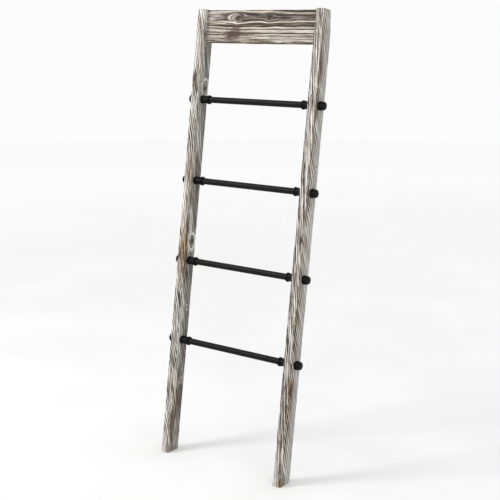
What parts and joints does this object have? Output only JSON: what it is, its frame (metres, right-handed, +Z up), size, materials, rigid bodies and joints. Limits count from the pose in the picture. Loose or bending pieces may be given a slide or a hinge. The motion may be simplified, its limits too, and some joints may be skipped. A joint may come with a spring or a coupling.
{
  "type": "towel rack",
  "caption": "Wall-leaning ladder towel rack: weathered, whitewashed timber posts and top board with level black tube rungs in pipe fittings.",
  "frame": {"origin": "bottom centre of the rack as it leans: on the floor, midway between the posts and midway between the front of the feet and the wall line", "axes": "+X along the rungs to the right as seen from the front, +Y towards the wall the rack leans on, +Z up"},
  "size_m": [0.49, 0.2374, 1.3571],
  "materials": {
    "weathered_wood": "torched and wire-brushed softwood under a thin whitewash, raised grain, matt",
    "dowel_wood": "plain birch dowel, glued in",
    "black_pipe": "black powder coat on drawn steel tube, satin to matt",
    "black_fitting": "black powder coat over malleable-iron castings, fine orange peel",
    "thread_steel": "black threaded steel nipple, hidden inside the post and fittings"
  },
  "bodies": {
    "root": {"left_post": "weathered_wood", "right_post": "weathered_wood", "top_board": "weathered_wood", "left_board_dowels": "dowel_wood", "right_board_dowels": "dowel_wood", "rung_1_pipe": "black_pipe", "rung_1_left_socket": "black_fitting", "rung_1_left_nipple": "thread_steel", "rung_1_left_cap": "black_fitting", "rung_1_right_socket": "black_fitting", "rung_1_right_nipple": "thread_steel", "rung_1_right_cap": "black_fitting", "rung_2_pipe": "black_pipe", "rung_2_left_socket": "black_fitting", "rung_2_left_nipple": "thread_steel", "rung_2_left_cap": "black_fitting", "rung_2_right_socket": "black_fitting", "rung_2_right_nipple": "thread_steel", "rung_2_right_cap": "black_fitting", "rung_3_pipe": "black_pipe", "rung_3_left_socket": "black_fitting", "rung_3_left_nipple": "thread_steel", "rung_3_left_cap": "black_fitting", "rung_3_right_socket": "black_fitting", "rung_3_right_nipple": "thread_steel", "rung_3_right_cap": "black_fitting", "rung_4_pipe": "black_pipe", "rung_4_left_socket": "black_fitting", "rung_4_left_nipple": "thread_steel", "rung_4_left_cap": "black_fitting", "rung_4_right_socket": "black_fitting", "rung_4_right_nipple": "thread_steel", "rung_4_right_cap": "black_fitting"}
  },
  "joints": []
}
